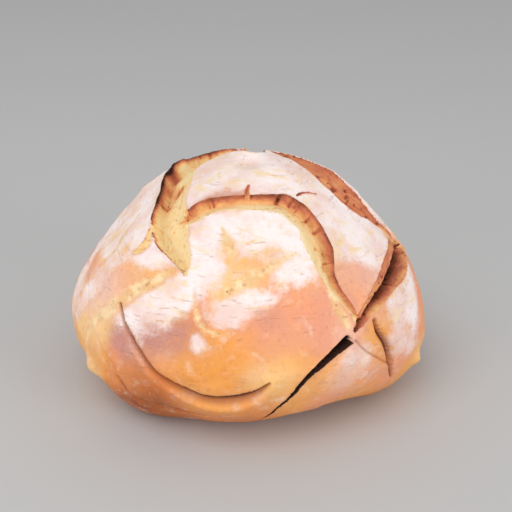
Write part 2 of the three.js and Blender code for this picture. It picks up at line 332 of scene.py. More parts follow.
def wander(places, grain, seed):
    """Smooth noise from -1 to 1, whose swells are about `grain` across: the sum of a cube's 8 corners, each
    times its share, which along an axis is t * t * (3 - 2 t) or what is left of 1."""
    block = np.random.default_rng(seed).uniform(-1, 1, (NOISE_BLOCK,) * 3)
    spot = places / grain
    cube = np.floor(spot).astype(int)
    part = spot - cube
    part = part * part * (3 - 2 * part)
    total = np.zeros(len(places))
    for corner in itertools.product((0, 1), repeat=3):
        share = np.prod(np.where(corner, part, 1 - part), axis=1)
        total += share * block[tuple(((cube + corner) % NOISE_BLOCK).T)]
    return total


def wander_along(run, grain, seed):
    """The same along one line, for the edge of a tear."""
    return wander(np.stack([run, np.full_like(run, 0.5), np.full_like(run, seed)], axis=1), grain, seed)


print("at four corners the noise is", wander(10 * directions[:4], 3.0, 1).round(2))

# %% [markdown]
# Where a place lies in a tear is told by three numbers: how far along, how far across (left is plus) and
# how far past the tear's end. The half width on each side wanders, which makes the torn edge ragged.

# %% A place's part in a tear
RAGGED = ((0.25, 4.5), (1.1, 17.0))  # height and length of a torn edge's nicks and bays, in mm
FULL_WIDTH = 10.0  # a tear this wide has the full raggedness, and a narrower one less
LEAST_HALF = 0.3  # no tear's half width is less, in mm
LEAST_END = 0.0004  # past its end a half width keeps the root of this share
OTHER_SIDE = 50  # added to a tear's seed for its second lip


def in_tear(directions, radius, tear, seed):
    """Each direction's place in a tear. Its offset from the nearest step of the line is measured ahead and to
    the left, in mm. inside is the half width there less that offset, so it is plus within the tear."""
    nearest = np.argmax(directions @ tear["line"].T, axis=1)
    offset = (directions - tear["line"][nearest]) * radius[:, None]
    ahead = np.sum(offset * tear["ahead"][nearest], axis=1)
    across = np.sum(offset * tear["left"][nearest], axis=1)
    past = np.where(nearest == 0, -ahead, np.where(nearest == len(tear["line"]) - 1, ahead, 0))
    past = np.maximum(past, 0)
    along = tear["run"][nearest] + ahead
    place = {name: tear[name][nearest] for name in ("left", "width", "share", "lift_left", "lift_right")}
    raggedness = np.minimum(place["width"] / FULL_WIDTH, 1) * tear.get("ragged", 1.0)
    halves = []
    for side in (0, 1):
        bays = sum(rise * wander_along(along, size, seed + OTHER_SIDE * side) for rise, size in RAGGED)
        tip = np.maximum(place["width"] / 2 + bays * raggedness, LEAST_HALF)
        end = tip / tear.get("blunt", 1.0)
        halves.append(tip * np.sqrt(np.maximum(1 - (past / end) ** 2, LEAST_END)))
    half = np.where(across > 0, halves[0], halves[1])
    round_end = place["width"] / 2 / tear.get("blunt", 1.0)
    inside = half - np.hypot(across, np.maximum(past - round_end, 0))
    return place | dict(
        along=along, across=across, past=past, half=half, inside=inside,
        half_left=halves[0], half_right=halves[1],
    )


west = in_tear(directions, dough_radius(directions), TEARS["west"], 0)
print(f"the west tear takes up {(west['inside'] > 0).sum()} of the {len(directions)} corners")

# %% [markdown]
# ## Crisp lips
#
# A lip is a sharp edge, but the ball's grid knows nothing of it: edges would come out as saw teeth. So each
# corner of the grid that is near a lip, or near the deepest line of a groove, is slid sideways onto it before
# the crust is raised. The faces then line up with every tear. A finer grid would only make the teeth smaller.

# %% Slide the corners onto the lips
SNAP = 0.85  # corners nearer than this to a line end up almost on it, in mm
SNAP_REACH = 5.0  # corners this far away stay where they are
SNAP_SHARE = 0.75  # where lines are close, the snap is at most this share of the reach
SNAP_REST = 0.12  # what is left of a snapped corner's distance
THREAD = 2.4  # a tear narrower than this has corners slid to its deepest line only
NO_LINE = 1000.0  # where a line that isn't wanted is put, in mm
LEAST_REACH = 0.05  # in mm
PAST_END = 0.5  # this far past its end, in mm, a tear draws no corners


def slid(offset, reach):
    """New offset from a line: nearly none within the snap, then growing evenly back to the old at reach."""
    far = np.abs(offset)
    snap = np.minimum(SNAP, reach * SNAP_SHARE)
    spread = SNAP_REST * snap + (far - snap) * (reach - SNAP_REST * snap) / (reach - snap)
    moved = np.where(far < snap, far * SNAP_REST, np.where(far < reach, spread, far))
    return np.sign(offset) * moved


def slide_to_lines(place, lean, ledge, crease):
    """How far to move each corner across: towards its nearest of right lip, deepest line and left lip. A
    ledge's brink stands in for the right lip. A crease or a thread of a tear has its deepest line only."""
    right = -place["half_right"]
    left = place["half_left"]
    deepest = np.where(lean > 0, lean * left, -lean * right)
    right = deepest - (deepest - right) * (1 - ledge)
    thread = (left - right < THREAD) | crease
    right = np.where(thread, -NO_LINE, right)
    left = np.where(thread, NO_LINE, left)
    across = place["across"]
    low_gap = (deepest - right) / 2
    high_gap = (left - deepest) / 2
    line = np.where(across < deepest - low_gap, right, np.where(across < deepest + high_gap, deepest, left))
    offset = across - line
    inner = np.where(line == right, low_gap, np.where(line == left, high_gap,
                     np.where(offset < 0, low_gap, high_gap)))
    outer = (line == right) & (offset < 0) | (line == left) & (offset > 0)
    reach = np.where(outer, SNAP_REACH, np.clip(inner, LEAST_REACH, SNAP_REACH))
    return (slid(offset, reach) - offset) * (place["past"] < PAST_END)


for seed, tear in enumerate(LINES.values()):
    radius = dough_radius(directions)
    place = in_tear(directions, radius, tear, seed)
    shift = slide_to_lines(place, tear["lean"], tear.get("ledge", 0.0), tear.get("crease", False))
    directions = unit_rows(directions * radius[:, None] + place["left"] * shift[:, None])
print(f"corners slid onto the lips and deepest lines of {len(LINES)} tears and creases")

# %% [markdown]
# ## Lips and grooves
#
# The lifts of all the tears add up, since a plate between two tears is lifted on both sides. The grooves
# don't add up: where two meet, the joint depth is little more than the deeper one's, with a soft ridge
# between them. Where a groove leans, its deepest part may also be pulled in under the steep lip, so that the
# lip overhangs it.

# %% How far up a wall
FLOOR_END = 0.07  # a wall starts this far up from the deepest line, and
LIP_START = 0.9  # ends this far up towards its lip, so that corners slid almost onto a line are on it
DEEPEST_SHARE = 0.3  # no groove is deeper than this many times the square of its width


def walls(place, tear):
    """How far up its wall each place is, from 0 on the deepest line to 1 at the lip, whether that is the
    short steep wall, whether it is the left one, and how deep the groove is on its deepest line."""
    part = np.clip(place["across"] / place["half"], -1, 1)
    lean = tear["lean"]
    climb = np.where(part > lean, (part - lean) / (1 - lean), (lean - part) / (1 + lean))
    short = part > lean if lean > 0 else part < lean
    climb = np.where(short, climb, climb / (1 - tear.get("ledge", 0.0)))
    climb = np.clip((climb - FLOOR_END) / (LIP_START - FLOOR_END), 0, 1)
    full_depth = np.minimum(tear["depth"] * place["share"], DEEPEST_SHARE * place["width"] ** 2)
    return climb, short, part > lean, full_depth


climb_west = walls(west, TEARS["west"])[0]
half_way = np.median(climb_west[west["inside"] > 0])
print(f"half of all places in the west tear are less than {half_way:.2f} of the way up")

# %% [markdown]
# On the real loaf the plates puff up most along the tears, and droop from there. A lift that is full across
# the tear and fades away beyond both lips gives that. It goes evenly over from one lip's lift to the other's.

# %% Raise the lips
LIP_REACH = 22.0  # a lip's lift fades by a factor of e over this distance, in mm

radius = dough_radius(directions)
count = len(directions)
places = [in_tear(directions, radius, tear, seed) for seed, tear in enumerate(LINES.values())]
lift = np.zeros(count)
for place in places:
    side = np.clip(place["across"] / (place["width"] / 2), -1, 1)
    edge = place["lift_right"] + (place["lift_left"] - place["lift_right"]) * (side + 1) / 2
    beyond = np.maximum(np.hypot(place["across"], place["past"]) - place["width"] / 2, 0)
    lift += edge * np.exp(-beyond / LIP_REACH)
print(f"the crust is lifted by up to {lift.max():.0f} mm")

# %% [markdown]
# Each tear then cuts its groove. A corner that is in two tears takes its crumb's grain and its pull under
# the lip from the deeper one, which is called its owner. Outside them all, the owner is the tear whose lip is
# nearest.

# %% Cut the tears
MEETING = 3  # where grooves meet, their depths are joined as the root of the sum of these powers
OUTSIDE = -30.0  # how far inside a tear a corner far from all of them is, in mm
GRAIN_APART = 40.0  # keeps each tear's strands apart from the next one's


def cut_of(place, tear):
    """How deep a tear is cut: its depth times 1 - climb, with climb to the power hollow on the long wall."""
    climb, short, _, full_depth = walls(place, tear)
    cut = full_depth * (1 - climb ** np.where(short, 1, tear["hollow"]))
    return np.where(place["inside"] > 0, cut, 0)


grooves = np.zeros(count)
deepest = np.zeros(count)
inside = np.full(count, OUTSIDE)
grain = np.zeros((count, 3))
pulled = np.zeros((count, 3))
owner = np.zeros(count, int)
for seed, (place, tear) in enumerate(zip(places, TEARS.values())):
    climb, _, on_left, _ = walls(place, tear)
    cut = cut_of(place, tear)
    shown = place["inside"] - tear.get("rind", 0.0) * on_left
    wins = (cut > deepest) | (np.maximum(cut, deepest) == 0) & (shown > inside)
    own = np.stack([place["along"], place["across"], np.full(count, GRAIN_APART * seed)], axis=1)
    grain = np.where(wins[:, None], own, grain)
    owner = np.where(wins, seed, owner)
    under = tear.get("under", 0.0) * place["share"] * np.sign(tear["lean"]) * (1 - climb) ** 2
    pull = place["left"] * np.where(place["inside"] > 0, under, 0)[:, None]
    pulled = np.where(wins[:, None], pull, pulled)
    inside = np.maximum(inside, shown)
    deepest = np.maximum(deepest, cut)
    grooves += cut**MEETING
print(f"{(inside > 0).mean():.0%} of the corners are in torn crumb")

# %% [markdown]
# How dark a wall is depends on which tear it is in, which side it is on and how far up it a place is. Mostly
# that is how it baked, but deep in the slit and the gorge it is painted shade. The climb is noted with a
# sign, plus on the left wall and minus on the right, so that it runs smoothly through the deepest line. Where
# two tears meet, the deeper cut has the greater say.

# %% How the walls have baked, with painted shade in deep grooves
WALL_NOTES = ("climb", "left_bake_and_shade", "floor_bake_and_shade", "right_bake_and_shade", "turn")
LEAST_SAY = 0.15  # added to a cut, in mm, so that a corner on a lip has a say too
FAINT_SAY = 1e-6  # the say of a tear that a corner is outside of

wall_notes = np.zeros((count, len(WALL_NOTES)))
says = np.zeros(count)
for place, tear in zip(places, TEARS.values()):
    climb, _, on_left, _ = walls(place, tear)
    wall_note = np.tile([0, *tear["bake_and_shade"], tear["turn"]], (count, 1))
    wall_note[:, 0] = np.where(on_left, climb, -climb)
    faint = FAINT_SAY * np.exp(np.minimum(place["inside"], 0))
    say = np.where(place["inside"] > 0, (cut_of(place, tear) + LEAST_SAY) ** MEETING, faint)
    wall_notes += say[:, None] * wall_note
    says += say
wall_notes /= says[:, None]
print("mean of each wall note:", dict(zip(WALL_NOTES, wall_notes.mean(axis=0).round(2).tolist())))

# %% [markdown]
# A crease falls to its deepest line and rises again without any floor, and is painted darker as it falls:
# partly crust with little flour, partly painted shade, since no light reaches into it. Last, the torn edges
# curl up a little, as thin crust does.

# %% Press in the creases and curl the edges
CREASE_POWER = 1.9  # a crease's long side falls as 1 - climb to this power, gently and then steeply
CREASE_SHADES = (0.7, 1.2)  # the powers by which its shade fades up the short side and the long side
RIM_RISE = 0.5  # the torn edge curls up by this much, in mm
RIM_REACH = 1.6  # and this fades by a factor of e over this distance, in mm
RIM_BAND = 0.15  # a corner this far inside a lip still counts as on the edge, in mm

painted_crease_shade = np.zeros(count)
for place, crease in zip(places[len(TEARS):], CREASES.values()):
    climb, short, _, full_depth = walls(place, crease)
    within = place["inside"] > 0
    fall = np.where(short, 1, crease.get("power", CREASE_POWER))
    grooves += np.where(within, full_depth * (1 - climb) ** fall, 0) ** MEETING
    # painted shade, darkest on the deepest line
    dark = crease["shade"] * (1 - climb) ** np.where(short, *CREASE_SHADES)
    painted_crease_shade = np.maximum(painted_crease_shade, np.where(within, dark, 0))
groove = grooves ** (1 / MEETING)
lift += RIM_RISE * np.exp(-np.maximum(-inside, 0) / RIM_REACH) * (inside < RIM_BAND)
print(f"the deepest groove is {groove.max():.0f} mm")

# %% [markdown]
# ## Put the skin in place
#
# The skin is stretched so that its plain shape, with lips and grooves but without small detail, fills the
# solid loaf's box exactly. Scaling the finished object would do that too, but an object that is left at the
# origin, unturned and unscaled, can be passed on as it is.

# %% Place and press flat
def laid_out(reach, aside):
    """Points in mm around the heart: each direction times its reach, moved aside, and what would hang below
    the stone pressed flat on it."""
    points = directions * reach[:, None] + aside
    points[:, 2] = np.maximum(points[:, 2], -GIRTH)
    return points


plain = laid_out(radius + lift - groove, 0)
plain_low, plain_high = plain.min(axis=0), plain.max(axis=0)
stretch = (box_high - box_low) / (plain_high - plain_low)


def in_frame(points):
    """From mm around the heart to metres in the solid loaf's box, by one stretch for each axis."""
    return box_low + (points - plain_low) * stretch


print("stretch per axis", np.round(stretch / MM, 3))

# %% [markdown]
# ## Brushes
#
# The rest of the lesson paints on the ball of directions. Dabs are round, and strokes follow a path just as
# a tear does. Where one brush both shapes a feature and colours it, the two always agree. Painting by hand
# would need the skin unwrapped first, and its seams would show.

# %% Dabs and strokes
EDGE_LEVEL = 0.3  # how strong a stroke is on its own edge


def dabs(rows):
    """Soft round dabs laid over each other: what one leaves bare, the next may cover. Each leaves a share of
    1 - strength * exp(-(angle / spread)^2). A row is azimuth, elevation, spread in degrees and strength."""
    bare = np.ones(count)
    for azimuth, elevation, spread, strength in rows:
        bare *= 1 - strength * np.exp(-((degrees_from(directions, azimuth, elevation) / spread) ** 2))
    return 1 - bare


def stroke(rows, seed, soft):
    """1 inside a ragged stroke and 0 outside: the distance inside over `soft` mm, plus the edge's level. A
    row is azimuth, elevation, width in mm."""
    path = [(azimuth, elevation, width, 0, 0) for azimuth, elevation, width in rows]
    line = tear_line(path)
    place = in_tear(directions, radius, line, seed)
    return np.clip(place["inside"] / soft + EDGE_LEVEL, 0, 1), place


strong = dabs([(0, 90, 10, 1)]) > 0.5
print(f"a dab with a spread of 10 degrees is strong on {strong.sum()} corners")

# %% [markdown]
# ## Stretch marks
#
# Where the skin thinned but didn't tear, a loaf has golden, finely pored bands in its flour. They could be
# left to the material alone, but they are also sunk a little and rougher, so they are brushed on as shape.

# %% Stretched bands
STRETCHES = [  # azimuth, elevation, width in mm
    [(-27, 34.5, 5), (-33, 31, 9), (-39, 26, 11), (-45, 20, 11), (-50, 15, 6), (-55, 9, 3)],
    [(-8, 27.5, 6), (-3, 31, 9), (4, 34.5, 9), (11, 37.5, 7), (17, 40, 4), (23, 41.5, 2)],
    [(-19, 27, 3), (-17, 21, 6), (-14, 16.5, 6), (-9, 15, 5), (-4, 16.5, 2)],
    [(-13, 52, 3), (-9, 48, 8), (-6, 43, 7), (-8, 39, 2)],
    [(29.5, 31, 3), (31, 26, 7), (32, 20, 10), (33.5, 14.5, 8), (34, 11, 2)],
    [(-44, 17, 4), (-50, 11, 7), (-57, 5, 8), (-60, -3, 5)],
    [(-76, 46, 2), (-70, 37, 6), (-66, 30, 5), (-70, 22, 2)],
    [(120, 50, 3), (128, 44, 9), (140, 40, 8), (150, 36, 3)],
    [(-150, 45, 3), (-158, 36, 8), (-165, 28, 7), (-168, 18, 3)],
]
STRETCH_SINK = 0.45  # how far a stretched band is sunk, in mm
STRETCH_SOFT = 5.0  # its edge fades over this distance, in mm
STRETCH_SEED = 300
stretch_mark = np.zeros(count)
for n, rows in enumerate(STRETCHES):
    stretch_mark = np.maximum(stretch_mark, stroke(rows, STRETCH_SEED + n, STRETCH_SOFT)[0])
print(f"{len(STRETCHES)} stretched bands cover {stretch_mark.mean():.1%} of the corners")

# %% [markdown]
# ## Rolls and knobs
#
# Below the long fold the dough has slumped into a roll with a soft outer edge. Such a step is a change of
# height that is sudden on the line and fades away from it on both sides. Small knobs are Gaussian hills, and
# hollows are hills below zero.

# %% Steps and knobs
STEPS_IN_CRUST = [  # path, height of the left side over the right in mm, how far it fades in mm
    ([(-62, 10, 4), (-58, 6.8, 6), (-53, 3.9, 6), (-48.4, 0, 6), (-44.6, -3.5, 6), (-41, -9, 6),
      (-38.5, -16, 6), (-37, -24, 4)], 2.6, 9.0),
    ([(36, 7, 3), (38.5, 3.8, 3), (44, -1.2, 3), (49.5, -6, 2)], -1.6, 7.0),
    ([(3, 12, 3), (6.2, 8.9, 4), (4.8, 4.8, 4), (3.5, 0.3, 3)], -0.8, 8.0),
]
STEP_EDGE = 1.1  # how gently a step turns over its edge, in mm
STEP_TAIL = 3.0  # how fast it fades past its ends, in mm
STEP_SEED = 400
KNOBS = [  # azimuth, elevation, height in mm, spread in degrees
    (-59, -12, 4.2, 3.4), (-51, -11.5, 1.6, 3), (67, -12.5, 3.2, 2.4), (8.5, -0.8, 2.4, 3.4),
    (-3, -9.5, 1.2, 9), (-14, -10.5, 1.2, 7), (-80, 63, 2.5, 5), (2, 35, 1.2, 14), (20, 20, 1.0, 14),
    (8, 83, -4.5, 4.5), (180, 81, -2.5, 6),
]
crust_shape = np.zeros(count)
for n, (rows, rise, tail) in enumerate(STEPS_IN_CRUST):
    place = stroke(rows, STEP_SEED + n, 1)[1]
    slope = np.tanh(place["across"] / STEP_EDGE) * np.exp(-np.abs(place["across"]) / tail)
    crust_shape += rise / 2 * slope * np.exp(-place["past"] / STEP_TAIL)
for azimuth, elevation, rise, spread in KNOBS:
    crust_shape += rise * np.exp(-((degrees_from(directions, azimuth, elevation) / spread) ** 2))
crust_shape -= STRETCH_SINK * stretch_mark
print(f"steps, knobs and bands shape the crust by {crust_shape.min():.1f} to {crust_shape.max():.1f} mm")

# %% [markdown]
# ## Rough crust, torn crumb and its holes
#
# Crust swells, dimples and wrinkles at several sizes at once. Inside a tear the crumb was pulled apart
# in strands along the tear, so its noise is stretched that way. What is finer than about 2 mm is left to the
# material, because the mesh can't hold it.

# %% Unevenness
UNEVEN = [(1.3, 46.0), (0.7, 19.0), (0.4, 8.0), (0.2, 3.6)]  # height and size of swells, in mm
STRAND_RISE = 0.55  # height of the torn strands, in mm
STRAND_SIZE = (16.0, 2.8)  # their length and breadth, in mm
LUMP_RISE = 0.5  # height of the lumps in torn crumb, in mm
LUMP_SIZE = 5.0
BAND_RISE = 0.25  # height of the grain in stretched bands, in mm
BAND_SIZE = 2.6
TORN_EDGE = 1.2  # this far inside a lip, in mm, strands and lumps have their full height
spots = directions * radius[:, None]
torn = np.clip(inside / TORN_EDGE, 0, 1)
uneven = sum(rise * wander(spots, size, 100 + n) for n, (rise, size) in enumerate(UNEVEN))
strand_place = grain / [STRAND_SIZE[0], STRAND_SIZE[1], 1.0]
strands = STRAND_RISE * wander(strand_place, 1.0, 120) + LUMP_RISE * wander(spots, LUMP_SIZE, 121)
band_grain = BAND_RISE * wander(spots, BAND_SIZE, 122) * stretch_mark
print(f"the crust is uneven by {uneven.min():.1f} to {uneven.max():.1f} mm")

# %% [markdown]
# Burst bubbles are round, so each pit is a small bowl around a corner picked by chance, with the same seed
# every time. Pits come in torn crumb and in the stretched bands, where the gas got out.

# %% Pits
PIT_COUNT = 190
PIT_RADIUS = (0.7, 1.7)  # the smallest and the largest, in mm
PIT_DEPTH = 0.7  # as a share of its radius
PIT_POWER = 1.5  # a bowl is 1 - (distance / radius)^2, to this power
BAND_CORE = 0.8  # pits in a stretched band are where its mark is over this
chance = np.random.default_rng(7)
in_band = (stretch_mark > BAND_CORE) & (inside < -1)
open_crumb = np.flatnonzero((inside > TORN_EDGE) | in_band)
centres = spots[chance.choice(open_crumb, PIT_COUNT, replace=False)]
sizes = chance.uniform(*PIT_RADIUS, PIT_COUNT)
pit = np.zeros(count)
pit_mask = np.zeros(count)
for centre, size in zip(centres, sizes):
    bowl = np.maximum(1 - np.sum((spots - centre) ** 2, axis=1) / size**2, 0)
    pit = np.maximum(pit, PIT_DEPTH * size * bowl**PIT_POWER)
    pit_mask = np.maximum(pit_mask, bowl)
print(f"{PIT_COUNT} pits, the deepest {pit.max():.1f} mm")

# %% [markdown]
# Everything is now a distance outwards, so the whole skin is a sum: the dough, its lift and its grooves, the
# crust's own shape, and all that is rough.

# %% The whole skin
reach = radius + lift - groove + crust_shape + uneven + torn * strands + band_grain - pit
skin = laid_out(reach, pulled)
print(f"the crust is {reach.min():.0f} to {reach.max():.0f} mm from the heart")

# %% [markdown]
# ## Make the mesh
#
# A loaf is one piece of bread, so the skin becomes one closed mesh, and stands in for the solid loaf in the
# picture. What the material needs to know about each corner is kept on the mesh as attributes, which stay
# with the surface wherever it goes.

# %% One closed mesh
loaf_mesh = bpy.data.meshes.new("sourdough_skin")
loaf_mesh.from_pydata(in_frame(skin).tolist(), [], faces.tolist())
loaf_mesh.polygons.foreach_set("use_smooth", np.ones(len(faces), bool))
loaf_mesh.update()
loaf = bpy.data.objects.new("sourdough_skin", loaf_mesh)
bpy.context.scene.collection.objects.link(loaf)
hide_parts("loaf")
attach(loaf, "root")
print(f"{loaf.name} has {2 * len(faces)} triangles")


# %% Notes on the mesh
def note(name, kind, values):
    """Keep one value per corner on the mesh, for the material to read."""
    layer = loaf_mesh.attributes.new(name, kind, "POINT")
    field = {"FLOAT": "value", "FLOAT_VECTOR": "vector", "FLOAT_COLOR": "color"}[kind]
    layer.data.foreach_set(field, np.asarray(values, np.float32).ravel())


note("inside", "FLOAT", inside)
note("painted_crease_shade", "FLOAT", painted_crease_shade)
note("stretched", "FLOAT", stretch_mark)
note("pitted", "FLOAT", pit_mask)
print(f"{(inside > 0).sum()} corners are in a tear and {(painted_crease_shade > 0).sum()} in a crease")

# %% [markdown]
# ## Where the flour lies
#
# Flour clings to the plates that touched the basket and is thin where the dough stretched. Noise alone would
# put it anywhere, so dabs say where it lies. It is noted as a number for each corner, and the material breaks
# its edge up into fine patches. Thin flour is a greyer film, low on the front.

# %% Flour
FLOURED = [  # azimuth, elevation, spread in degrees, strength
    (0, 84, 24, 0.9), (-53, 70, 16, 0.9), (-10, 73, 14, 0.95), (32, 72, 14, 1), (53, 59, 14, 1),
    (61, 47, 14, 0.95), (50, 42, 10, 0.8), (57, 34, 9, 0.85), (68, 34, 9, 0.9), (-83, 58, 16, 0.95),
    (-70, 48, 11, 0.9), (-64, 42, 8, 0.8), (-41, 40, 7, 1), (-38, 36, 6, 1), (-46, 33, 5, 0.9),
    (-62, 27, 6, 0.75), (-72, 30, 6, 0.6), (-23, 52, 6, 0.8), (-13, 56, 7, 1), (4, 56, 8, 1),
    (18, 53, 8, 1), (24, 46, 5, 0.8), (-24, 44, 7, 0.9), (-20, 38, 7, 0.85), (-13, 36, 5, 0.7),
    (-1, 45, 8, 0.6), (-23, 30, 6, 0.95), (-24, 25, 5, 1), (-30, 20, 7, 1), (-38, 15.5, 5.5, 0.9),
    (-36, 20, 5, 0.8), (-6, 21, 6, 0.95), (0, 23, 6, 0.95), (7, 26, 5, 0.85), (14, 31, 6, 0.6),
    (24, 38, 6, 0.75), (23, 33, 6, 0.7), (18, 31, 5, 0.65), (-15.5, 12, 2.6, 0.85), (-15, 9.5, 2.4, 0.8),
    (60, 14, 8, 0.9), (66, 8, 8, 0.8), (54, 9, 7, 0.85), (56, 1, 7, 0.7), (70, 18, 8, 0.85),
    (62, -4, 6, 0.45), (-82, 8, 9, 0.85), (-72, 6, 7, 0.7), (-56, 22, 7, 0.45), (-66, 14, 7, 0.5),
    (-88, 22, 9, 0.7), (33, 2, 4.5, 0.55), (38, 1, 4.5, 0.5), (40, -6, 6, 0.35), (-150, 60, 26, 0.85),
    (170, 62, 20, 0.8), (140, 30, 18, 0.7), (-105, 35, 16, 0.8), (-150, 18, 18, 0.65), (120, 5, 14, 0.6),
    (-120, 2, 12, 0.45), (160, 8, 12, 0.5), (-175, 35, 14, 0.7), (100, 60, 18, 0.9), (105, 38, 16, 0.8),
]
THIN_FLOUR = [  # the same, and so is the next
    # the first three rows, with the first three bare ones, lay a greyish-mauve band above the crown tear's
    # left part
    (-26, 62, 4, 0.8), (-16, 64.3, 4, 0.8), (-6, 65.5, 4, 0.7), (-41, 8.5, 5, 0.9), (-30, 10, 5, 0.9),
    (-22, 10.5, 4, 0.8), (-33, 13, 6, 0.9), (-26, 13.5, 6, 0.9), (-20, 14, 5, 0.8), (-42, 7, 4, 0.7),
    (-38, 4, 4, 0.5), (7, 20, 4, 0.4), (-28, 8, 4, 0.35),
]
BARE = [
    (-26, 62, 3.5, 0.6), (-16, 64.3, 3.5, 0.6), (-6, 65.5, 3.5, 0.5), (-54, 22, 6, 0.7),
    (-46, 27, 5, 0.7), (-39, 30, 4, 0.5), (44, 27, 6, 0.75), (40, 24, 5, 0.7), (48, 29, 4, 0.5),
    (20, 22, 9, 0.9), (10, 14, 10, 0.9), (73, 8, 5, 0.5), (66, 20, 3, 0.3), (46, 43, 5, 0.35),
    (3, 42, 5, 0.3), (80, 18, 5, 0.4), (82, 9, 8, 0.9), (75, 5, 5, 0.7), (76, 2, 6, 0.4),
    (64, -8, 6, 0.3), (-5, 38, 4, 0.35),
]
FLOUR_ON = 0.85  # the most that the floured dabs give
FLOUR_OFF = 0.8  # the most that the bare dabs take away
BAND_OFF = 0.35  # what a stretched band takes away
UPPER_ON = 0.1  # what is added above the widest level, where the basket held the dough
UPPER_START = -0.05  # from here, as the upward part of a direction, it grows over
UPPER_SPAN = 0.35  # this much more
DRIFTS = [(0.16, 15.0), (0.1, 5.0)]  # strength and size in mm of the flour's own unevenness
upper = np.clip((directions[:, 2] - UPPER_START) / UPPER_SPAN, 0, 1)
flour = FLOUR_ON * dabs(FLOURED) - FLOUR_OFF * dabs(BARE) - BAND_OFF * stretch_mark + UPPER_ON * upper
flour += sum(strength * wander(spots, size, 140 + n) for n, (strength, size) in enumerate(DRIFTS))
note("flour", "FLOAT", np.clip(flour, 0, 1))
note("thin_flour", "FLOAT", dabs(THIN_FLOUR))
print(f"{(flour > 0.5).mean():.0%} of the corners are well floured")

# %% [markdown]
# ## How the crust has coloured
#
# The bare crust runs from pale straw, where steam kept it soft, through honey and peach to rust and dark
# toast near the stone. The tints named here are dabbed on, and every corner takes the average of the dabs
# around it, weighed by how near they are.

# %% Tints
def from_screen(red, green, blue):
    """A colour as screens write it, 0 to 255, turned into the linear light that shaders work in: a level,
    as a share of 255, becomes (level + 0.055) / 1.055 to the power 2.4, or level / 12.92 if nearly black."""
    level = np.array([red, green, blue]) / 255
    return np.where(level < 0.04045, level / 12.92, ((level + 0.055) / 1.055) ** 2.4)


TINTS = {
    "straw": from_screen(250, 205, 150), "honey": from_screen(240, 170, 102),
    "peach": from_screen(237, 160, 130), "blush": from_screen(240, 195, 178),
    "amber": from_screen(236, 158, 86), "rust": from_screen(224, 142, 90),
    "toast": from_screen(176, 100, 52), "burnt_and_shadow": from_screen(112, 60, 30),
}
print("honey in linear light is", TINTS["honey"].round(3))

# %% Where each tint is
DABS_OF_TINT = [  # tint, azimuth, elevation, spread in degrees
    ("peach", 20, 27, 11), ("peach", 15, 19, 12), ("peach", 8, 14, 9), ("peach", 25, 14, 9),
    ("honey", 12, 8, 7), ("honey", 20, 0, 7), ("honey", 14, -8, 8), ("blush", 32, 12, 4),
    ("amber", -2, 9, 8), ("amber", -9, 3, 10), ("amber", -20, 5, 8), ("amber", -14, -2, 8),
    # the straw dab at (8.5, 0), on the knob at the fold's end, is partly a painted highlight
    ("honey", -27, 7, 6), ("peach", -28, 3, 5), ("straw", 3, 2, 4), ("straw", 8.5, 0, 6),
    ("straw", 12, 3, 4), ("blush", -54, 22, 8), ("peach", -46, 27, 6), ("blush", -60, 14, 7),
    ("honey", -38, 31, 5), ("peach", -66, 20, 7), ("straw", -54, 8, 6), ("straw", -60, 2, 6),
    ("honey", -56, -4, 6), ("straw", -58, -11, 4), ("rust", -34, -3, 7), ("rust", -40, -8, 7),
    # burnt and toast dabs low on the left: partly toasted crust, partly painted shadow under the roll
    ("peach", -41, 2, 4), ("burnt_and_shadow", -28.5, -10.5, 6), ("toast", -31, -5, 5.5), ("rust", -22, -10, 6),
    ("honey", -14, -10, 6), ("honey", -4, -11, 6), ("rust", 2, -14, 7), ("burnt_and_shadow", -38, -19, 6),
    ("toast", -26, -20, 8), ("rust", -10, -20, 8), ("toast", -46, -26, 8), ("blush", 34, 0, 6),
    ("blush", 30, -6, 5), ("peach", 40, -7, 6), ("peach", 28, -14, 7), ("honey", 38, -15, 7),
    ("peach", 52, -12, 6), ("honey", 62, -14, 6), ("straw", 68, -11, 4), ("honey", 41, 8, 3),
    ("amber", 43, 4, 3), ("amber", 46, -2, 3), ("peach", 58, -2, 6), ("peach", 66, 2, 7),
    ("peach", 76, 8, 8), ("honey", 74, -6, 8), ("blush", 44, 27, 7), ("peach", 43, 27, 6),
    ("straw", -44, 29, 5), ("peach", 40, 22, 6), ("peach", 80, 8, 6), ("straw", 46, 43, 6),
    ("straw", -8, 47, 5), ("straw", -2, 33, 8), ("honey", 2, 44, 7), ("straw", 10, 48, 7),
    ("straw", 24, 36, 7), ("peach", -88, 20, 8), ("honey", -84, 0, 9), ("honey", -76, -10, 9),
    ("straw", -72, 34, 9), ("honey", -66, -24, 9), ("rust", -16, 19, 3), ("peach", -18, 24, 4),
    ("peach", 150, 20, 16), ("honey", -150, 10, 16), ("amber", 178, 0, 14), ("peach", -120, 20, 14),
    ("honey", 115, 10, 14), ("peach", 110, -8, 12), ("rust", 150, -18, 14), ("rust", -130, -20, 14),
    ("rust", -178, -20, 14), ("rust", 100, -24, 12), ("rust", -95, -24, 12),
]
HONEY_BASE = 0.04  # the weight of plain honey under all dabs
UNDER_START = 0.36  # below this, as the downward part of a direction, the crust turns to toast, over
UNDER_SPAN = 0.3  # this much more
tint = HONEY_BASE * np.tile(TINTS["honey"], (count, 1))
weight = np.full(count, HONEY_BASE)
for name, azimuth, elevation, spread in DABS_OF_TINT:
    near = np.exp(-((degrees_from(directions, azimuth, elevation) / spread) ** 2))
    tint += near[:, None] * TINTS[name]
    weight += near
tint /= weight[:, None]
under_side = np.clip((-directions[:, 2] - UNDER_START) / UNDER_SPAN, 0, 1)[:, None]
tint = tint * (1 - under_side) + TINTS["toast"] * under_side
note("tint", "FLOAT_COLOR", np.hstack([tint, np.ones((count, 1))]))
